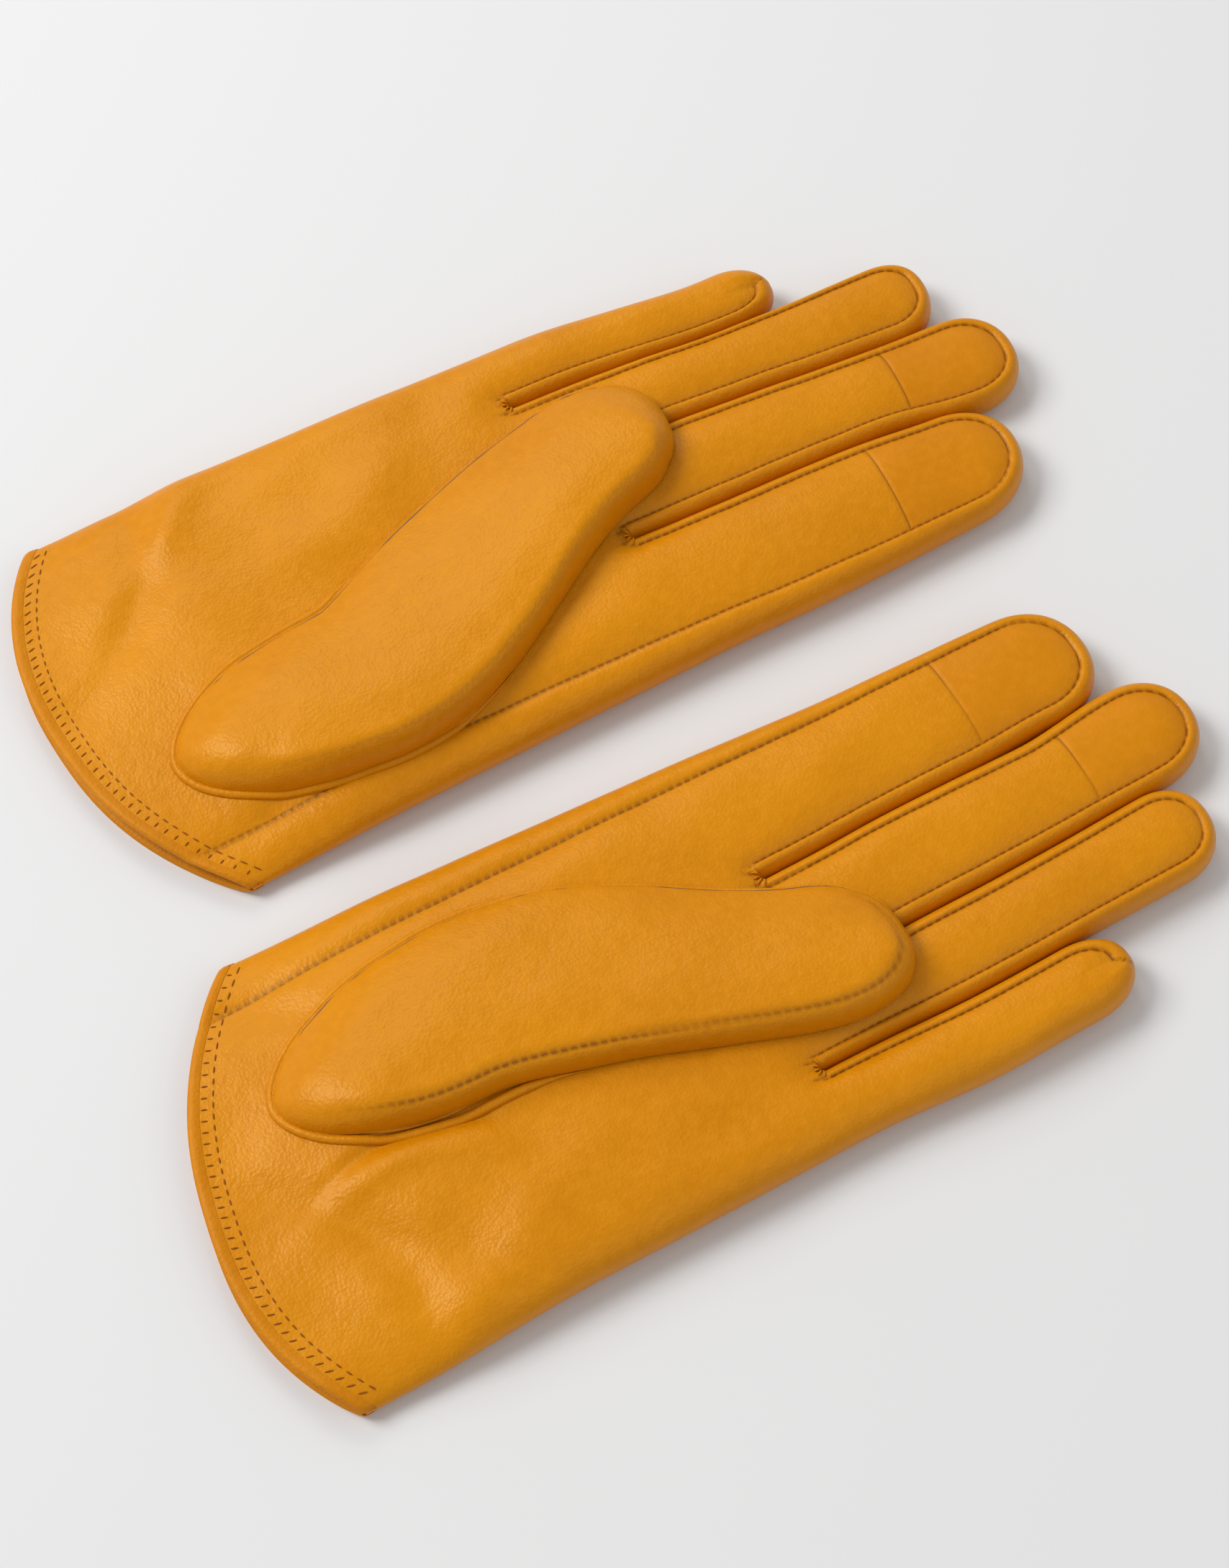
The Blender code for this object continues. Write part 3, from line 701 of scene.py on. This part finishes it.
def build_thumbs(looks):
    for glove in gloves():
        upper, under, marks = thumb_points(glove)
        heart = inside_of(glove, 70 * MM, (glove.facts["thumb_root"] + glove.facts["thumb_tip"]) / 2,
                          17 * MM, False)
        hand, thumb = glove.side + "_hand", glove.side + "_thumb"
        start = tuple(glove.place(np.array(4 * MM), np.array(glove.facts["thumb_root"]),
                                  np.array(14 * MM), False))
        end = tuple(glove.place(np.array(38 * MM), np.array(glove.facts["thumb_root"]),
                                np.array(14 * MM), False))
        for name, points, mark in (("thumb_upper", upper, marks), ("thumb_under", under, None)):
            made = piece(f"{glove.side}_{name}_panel", [(points, mark)], heart)
            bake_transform(made, hand, thumb, start=start, end=end)
            finish_piece(made, looks["leather"], "glove_leather", f"{glove.side}_{name}")
        lining = piece(glove.side + "_thumb_stall", [(upper[::3, ::3], None), (under[::3, ::3], None)], heart,
                       leather=0)
        shrink(lining, 1.1 * MM)
        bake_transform(lining, hand, thumb, start=start, end=end)
        finish_piece(lining, looks["lining"], "lining_fabric", glove.side + "_thumb_lining")
        welt = build_welt(glove)
        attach(welt, hand)
        finish_piece(welt, looks["leather"], "glove_leather", glove.side + "_thumb_welt")


def tube(path, radius, sides=8):
    """Rings of points round a path, each ring standing across it."""
    ahead = np.gradient(path, axis=0)
    ahead /= np.linalg.norm(ahead, axis=1)[:, None]
    up = np.array([0.0, 0.0, 1.0])
    across = np.cross(ahead, up)
    across /= np.linalg.norm(across, axis=1)[:, None]
    lift = np.cross(across, ahead)
    angle = np.linspace(0, 2 * math.pi, sides + 1)
    rings = np.cos(angle)[None, :, None] * across[:, None] + np.sin(angle)[None, :, None] * lift[:, None]
    return path[:, None] + rings * np.asarray(radius)[:, None, None]


def build_welt(glove):
    """The rolled seam that joins the thumb's root to the palm."""
    x, y, ways, _, count = thumb_rows(glove)
    rows = np.concatenate([np.arange(count * 2 + 37 - 16, len(x) - 1), np.arange(0, 16)])
    out_x, out_y = x[rows, 0], y[rows, 0]
    count_out = np.linspace(0, 1, len(rows))
    away = 0.3 + glove.facts["pocket"] * np.sin(np.clip(count_out * 2.2, 0, 1) * math.pi) ** 2
    grown_x = out_x + (out_x - x[rows, 3]) * away
    grown_y = out_y + (out_y - y[rows, 3]) * away
    z, _ = glove.top(None, grown_x, grown_y - glove.facts["lean"] * grown_x)
    path = glove.place(grown_x, grown_y, z + 0.2 * MM, False)
    t = np.linspace(0, 1, len(rows))
    radius = 1.1 * MM * np.clip(np.sin(t * math.pi) * 3, 0.15, 1)
    return piece(glove.side + "_thumb_seam_roll", [(tube(path, radius), None)], Vector(path[len(path) // 2]),
                 leather=0)


def cuff_lines(glove, inset, outward):
    """Top and bottom lines of points across the cuff, inset from its edge and outward from its surface."""
    lines = []
    y = np.linspace(-CUFF_HALF * 0.985, CUFF_HALF * 0.985, 161)
    for top in (True, False):
        x = cuff_x(y) + inset
        z = glove.top(None, x, y)[0] + outward if top else np.maximum(glove.low(None, x, y) - outward, 0)
        lines.append(glove.place(x, y, z))
    return lines


def build_cuffs(looks):
    for glove in gloves():
        y = -np.cos(np.linspace(0, math.pi, 121)) * CUFF_HALF
        insets = np.array([2.2, 1.1, 0.3, -0.5, -0.5, 0.4, 4.0, 9.0, 15.0]) * MM
        depths = np.array([0.05, -0.25, -0.3, 0.1, 0.6, 0.95, 1.1, 1.2, 1.2]) * MM
        rounded_y = y[:, None] * (1 - (depths + 0.15 * MM) / CUFF_HALF)
        x = cuff_x(rounded_y) + insets
        margin = np.maximum(depths, 0) + 0.1 * MM
        rounded_y = np.clip(rounded_y, near_edge(x) + margin, far_edge(x) - margin)
        top_z = np.maximum(glove.top(None, x, rounded_y)[0] - depths, MIDDLE_SHARE * CUFF_HEIGHT)
        low_z = np.minimum(glove.low(None, x, rounded_y) + depths, MIDDLE_SHARE * CUFF_HEIGHT)
        patches = [(glove.place(x, rounded_y, z), None) for z in (top_z, np.maximum(low_z, 0))]
        hem = piece(glove.side + "_hem_roll", patches, inside_of(glove, 0, 0), leather=0)
        wall = hem.modifiers.new("leather", "SOLIDIFY")
        wall.thickness = 0.3 * MM
        wall.offset = 0
        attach(hem, glove.side + "_hand")
        finish_piece(hem, looks["hem"], "hem_leather", glove.side + "_cuff_hem")
        build_knots(glove).data.materials.append(looks["hem"])
        stitches = build_stitches(glove)
        stitches.data.materials.append(looks["thread"])
        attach(stitches, glove.side + "_hand")


def build_knots(glove):
    """The overcast threads that close the forks between the index and middle fingers and between the ring and
    little fingers: a few short loops, side by side.
    """
    patches = []
    for name, (x0, y0, _, _) in GAPS.items():
        if name == "middle_ring":
            continue
        for k in range(5):
            turn = math.radians(-64 + 32 * k)
            t = np.linspace(-0.5, 0.5, 5)
            reach = FOURCHETTE * 0.5 + t * 2.6 * MM
            x = x0 - reach * math.cos(turn)
            y = y0 + reach * math.sin(turn)
            z = glove.top(None, x, y)[0] + (0.35 - 0.5 * (2 * t) ** 2) * MM
            radius = np.array([0.1, 0.26, 0.3, 0.26, 0.1]) * MM
            patches.append((tube(glove.place(x, y, z), radius, 6), None))
    knots = piece(glove.side + "_fork_threads", patches, inside_of(glove, 100 * MM, 0), leather=0,
                  merge=0.001 * MM)
    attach(knots, glove.side + "_hand")
    return knots


def build_stitches(glove):
    """Two rows of hem stitches round the cuff: slanted ones near the edge, and small ones along it."""
    patches = []
    for top in (True, False):
        for inset, length, along in ((3.4 * MM, 1.5 * MM, False), (5.6 * MM, 1.3 * MM, True)):
            count = round(2 * CUFF_HALF * 0.93 / HEM_STITCH_PITCH)
            for centre in np.linspace(-CUFF_HALF * 0.93, CUFF_HALF * 0.93, count):
                t = np.linspace(-0.5, 0.5, 4)
                y = centre + t * length * (1.0 if along else 0.35)
                x = cuff_x(y) + inset + (0 if along else 1) * t * length
                z = glove.top(None, x, y)[0] + 0.06 * MM if top else glove.low(None, x, y)
                path = glove.place(x, y, z)
                radius = np.array([0.09, 0.2, 0.2, 0.09]) * MM
                patches.append((tube(path, radius, 5), None))
    return piece(glove.side + "_hem_stitches", patches, inside_of(glove, 0, 0), leather=0, merge=0.001 * MM)


def build_linings(looks):
    for glove in gloves():
        patches = []
        for finger in LANES:
            x, y = hand_rows(finger)
            x, y = x[6::3], y[6::3]
            columns = sorted({*range(0, x.shape[1], 3), x.shape[1] - 1})
            patches.append(surface(glove, None, x[:, columns], y[:, columns]))
            patches.append(surface(glove, None, x[:, columns], y[:, columns], top=False))
        lining = piece(glove.side + "_palm_lining", patches, inside_of(glove, 60 * MM, 5 * MM), leather=0)
        shrink(lining, 1.3 * MM)
        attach(lining, glove.side + "_hand")
        finish_piece(lining, looks["lining"], "lining_fabric", glove.side + "_hand_lining")
        for finger in LANES:
            x, y, _, _ = finger_rows(finger)
            x, y = x[::3, ::3], y[::3, ::3]
            patches = [surface(glove, finger, x, y), surface(glove, finger, x, y, top=False)]
            size = FINGERS[finger]
            middle_x = (size["start"] + size["tip"]) / 2
            low_y, high_y = lane_sides(finger, np.array(middle_x))
            stall = piece(f"{glove.side}_{finger}_stall", patches,
                          inside_of(glove, middle_x, (low_y + high_y) / 2), leather=0)
            shrink(stall, 1.1 * MM)
            skinned(stall, glove, finger)
            finish_piece(stall, looks["lining"], "lining_fabric", f"{glove.side}_{finger}_lining")


# Materials

class Wire:
    """A shader value that takes ordinary arithmetic."""

    def __init__(self, made, socket):
        self.made = made
        self.socket = socket

    def math(self, operation, *others):
        return self.made.node("ShaderNodeMath", "Value", {"operation": operation},
                              **{f"i{k}": v for k, v in enumerate((self, *others))})

    def __add__(self, other):
        return self.math("ADD", other)

    def __mul__(self, other):
        return self.math("MULTIPLY", other)

    def __sub__(self, other):
        return self.math("SUBTRACT", other)

    __radd__ = __add__
    __rmul__ = __mul__


class Finish:
    """A material under construction."""

    def __init__(self, name):
        self.material = bpy.data.materials.new(name)
        self.material.use_nodes = True
        self.tree = self.material.node_tree
        self.shader = self.tree.nodes["Principled BSDF"]

    def node(self, kind, output, settings=None, **inputs):
        made = self.tree.nodes.new(kind)
        for key, value in (settings or {}).items():
            setattr(made, key, value)
        for key, value in inputs.items():
            target = made.inputs[int(key[1:])] if key[0] == "i" and key[1:].isdigit() else made.inputs[key]
            self.give(target, value)
        return Wire(self, made.outputs[output])

    def give(self, target, value):
        if isinstance(value, Wire):
            self.tree.links.new(value.socket, target)
        else:
            target.default_value = value

    def set(self, **inputs):
        for key, value in inputs.items():
            self.give(self.shader.inputs[key.replace("_", " ")], value)

    def noise(self, place, scale, detail=3.0):
        return self.node("ShaderNodeTexNoise", "Fac", None, Vector=place, Scale=scale, Detail=detail)

    def blend(self, share, first, second):
        return self.node("ShaderNodeMix", 2, {"data_type": "RGBA"}, i0=share, i6=first, i7=second)


def leather_look(name, colour, dark, roughness, grain):
    finish = Finish(name)
    place = finish.node("ShaderNodeTexCoord", "Object")
    broad = finish.noise(place, 26.0, 4.0)
    fine = finish.noise(place, 420.0, 3.0)
    cells = finish.node("ShaderNodeTexVoronoi", "Distance", None, Vector=place, Scale=1300.0)
    seam_shade_and_stitches = finish.node("ShaderNodeAttribute", "Fac", {"attribute_name": "seam_shade_and_stitches"})
    shade = tuple(c * k for c, k in zip(colour[:3], (0.86, 0.80, 0.7))) + (1.0,)
    tone = finish.blend((broad - 0.35) * 1.5, shade, colour)
    tone = finish.blend((fine - 0.38) * 0.5, tone, tuple(min(c * 1.2 + 0.01, 1) for c in colour[:3]) + (1.0,))
    # Painted shade: seam lines are darkened 0.42 of the way towards the thread colour all along, as shade
    # inside the seams, and 0.80 of the way on the dashes that stand for stitches.
    along = finish.node("ShaderNodeSeparateXYZ", "X", None, Vector=place)
    dash = (along * (2 * math.pi / STITCH_PITCH)).math("SINE").math("GREATER_THAN", -0.3)
    tone = finish.blend(seam_shade_and_stitches * (dash * 0.38 + 0.42), tone, dark)
    wrinkle = finish.noise(place, 130.0, 4.0)
    height = cells * 0.5 + fine * 0.9 + wrinkle * 1.8
    bump = finish.node("ShaderNodeBump", "Normal", None, Strength=grain, Distance=0.00042, Height=height)
    finish.set(Base_Color=tone, Roughness=(fine * 0.16) + (roughness - 0.08), Normal=bump,
               Specular_IOR_Level=0.33, Specular_Tint=(1.0, 0.80, 0.42, 1.0))
    return finish.material


def lining_look(colour):
    finish = Finish("lining knit")
    place = finish.node("ShaderNodeTexCoord", "Object")
    fine = finish.noise(place, 900.0, 2.0)
    bump = finish.node("ShaderNodeBump", "Normal", None, Strength=0.5, Distance=0.0003, Height=fine)
    finish.set(Base_Color=colour, Roughness=0.9, Normal=bump)
    return finish.material


def tinted(colour, shares):
    return tuple(c * k for c, k in zip(colour, shares))


def make_looks(sizes):
    colour = tuple(sizes.leather_colour)
    dark = tuple(sizes.thread_and_seam_shade_colour)
    return {
        "leather": leather_look("glove leather", colour, dark, 0.37, sizes.grain),
        "touch": leather_look("touch leather", tinted(colour, (0.97, 0.93, 0.8, 1)), dark, 0.40,
                              sizes.grain * 0.5),
        "hem": leather_look("hem leather", tinted(colour, (0.93, 0.88, 0.85, 1)), dark, 0.5, sizes.grain),
        "thread": leather_look("thread", tuple(sizes.stitch_colour), dark, 0.7, 0.1),
        "lining": lining_look(tuple(sizes.lining_colour)),
    }


LOOKS = {}


def looks(context):
    if not LOOKS:
        LOOKS.update(make_looks(context.scene.glove_sizes))
    return LOOKS


# Stage

def build_stage(sizes):
    bm = bmesh.new()
    bmesh.ops.create_grid(bm, x_segments=1, y_segments=1, size=6)
    mesh = bpy.data.meshes.new("floor")
    bm.to_mesh(mesh)
    bm.free()
    floor = bpy.data.objects.new("floor", mesh)
    bpy.context.scene.collection.objects.link(floor)
    finish = Finish("floor")
    finish.set(Base_Color=(*[sizes.floor_tone] * 3, 1.0), Roughness=1.0)
    finish.shader.inputs["Specular IOR Level"].default_value = 0.0
    mesh.materials.append(finish.material)
    world = bpy.data.worlds.new("studio")
    world.use_nodes = True
    world.node_tree.nodes["Background"].inputs["Color"].default_value = (1, 1, 1, 1)
    world.node_tree.nodes["Background"].inputs["Strength"].default_value = sizes.fill_light
    bpy.context.scene.world = world
    for name, place, size, power in (("key light", (-1.1, 0.85, 1.5), 0.9, sizes.key_light * 2.5),
                                     ("sheen light", (0.05, 1.05, 0.95), 0.5, sizes.key_light * 0.30),
                                     ("front light", (0.5, -0.9, 0.9), 1.0, sizes.key_light * 0.18)):
        data = bpy.data.lights.new(name, "AREA")
        data.size = size
        data.energy = power
        light = bpy.data.objects.new(name, data)
        bpy.context.scene.collection.objects.link(light)
        light.location = place
        light.rotation_euler = (-Vector(place)).to_track_quat("-Z", "Y").to_euler()
    data = bpy.data.cameras.new("camera")
    data.lens = 70
    data.sensor_width = 36
    data.clip_start = 0.01
    camera = bpy.data.objects.new("camera", data)
    bpy.context.scene.collection.objects.link(camera)
    camera.location = (-0.1487, -0.29238, 0.61457)
    camera.rotation_euler = (math.radians(27.66), 0, math.radians(-26.37))
    bpy.context.scene.camera = camera
    bpy.context.scene.view_settings.view_transform = "Standard"


# The add-on

class GloveSizes(bpy.types.PropertyGroup):
    leather_colour: bpy.props.FloatVectorProperty(
        name="Leather", description="The gloves' leather", subtype="COLOR", size=4, min=0, max=1,
        default=(0.70, 0.262, 0.0008, 1.0))
    # The stitches' colour, which is also used for the painted shade inside the seams.
    thread_and_seam_shade_colour: bpy.props.FloatVectorProperty(
        name="Thread", description="Stitches and the shade inside seams", subtype="COLOR", size=4,
        min=0, max=1, default=(0.15, 0.035, 0.003, 1.0))
    stitch_colour: bpy.props.FloatVectorProperty(
        name="Hem stitches", description="The two rows of stitches round each cuff", subtype="COLOR", size=4,
        min=0, max=1, default=(0.30, 0.095, 0.008, 1.0))
    lining_colour: bpy.props.FloatVectorProperty(
        name="Lining", description="The knitted lining", subtype="COLOR", size=4, min=0, max=1,
        default=(0.24, 0.10, 0.035, 1.0))
    grain: bpy.props.FloatProperty(
        name="Grain", description="How strong the leather's grain is", default=0.35)
    floor_tone: bpy.props.FloatProperty(name="Floor", description="How light the floor is", default=0.755)
    fill_light: bpy.props.FloatProperty(name="Fill light", description="Light from all around", default=0.46)
    key_light: bpy.props.FloatProperty(
        name="Key light", description="The main light's power in watts", default=10.8)


class BuildHands(bpy.types.Operator):
    """Build both palms and backs"""
    bl_idname = "gloves.hands"
    bl_label = "Hands"

    def execute(self, context):
        build_hands(looks(context))
        return {"FINISHED"}


class BuildFingers(bpy.types.Operator):
    """Build all eight fingers, with their fourchettes and touch tips"""
    bl_idname = "gloves.fingers"
    bl_label = "Fingers"

    def execute(self, context):
        build_fingers(looks(context))
        return {"FINISHED"}


class BuildThumbs(bpy.types.Operator):
    """Build both thumbs and the rolled seams at their roots"""
    bl_idname = "gloves.thumbs"
    bl_label = "Thumbs"

    def execute(self, context):
        build_thumbs(looks(context))
        return {"FINISHED"}


class BuildCuffs(bpy.types.Operator):
    """Build the hems round the cuffs and their stitches"""
    bl_idname = "gloves.cuffs"
    bl_label = "Cuffs"

    def execute(self, context):
        build_cuffs(looks(context))
        return {"FINISHED"}


class BuildLinings(bpy.types.Operator):
    """Build the linings of the hands and fingers"""
    bl_idname = "gloves.linings"
    bl_label = "Linings"

    def execute(self, context):
        build_linings(looks(context))
        return {"FINISHED"}


class BuildStage(bpy.types.Operator):
    """Set the floor, lights and camera"""
    bl_idname = "gloves.stage"
    bl_label = "Stage"

    def execute(self, context):
        build_stage(context.scene.glove_sizes)
        return {"FINISHED"}


STEPS = (BuildHands, BuildFingers, BuildThumbs, BuildCuffs, BuildLinings, BuildStage)


class GlovesPanel(bpy.types.Panel):
    bl_idname = "VIEW3D_PT_gloves"
    bl_label = "Gloves"
    bl_space_type = "VIEW_3D"
    bl_region_type = "UI"
    bl_category = "Gloves"

    def draw(self, context):
        for name in GloveSizes.__annotations__:
            self.layout.prop(context.scene.glove_sizes, name)
        for step in STEPS:
            self.layout.operator(step.bl_idname)


def register():
    for made in (GloveSizes, *STEPS, GlovesPanel):
        bpy.utils.register_class(made)
    bpy.types.Scene.glove_sizes = bpy.props.PointerProperty(type=GloveSizes)


def unregister():
    del bpy.types.Scene.glove_sizes
    for made in reversed((GloveSizes, *STEPS, GlovesPanel)):
        bpy.utils.unregister_class(made)


def main():
    register()
    bpy.ops.gloves.hands()
    bpy.ops.gloves.fingers()
    bpy.ops.gloves.thumbs()
    bpy.ops.gloves.cuffs()
    bpy.ops.gloves.linings()
    bpy.ops.gloves.stage()


if __name__ == "__main__":
    main()
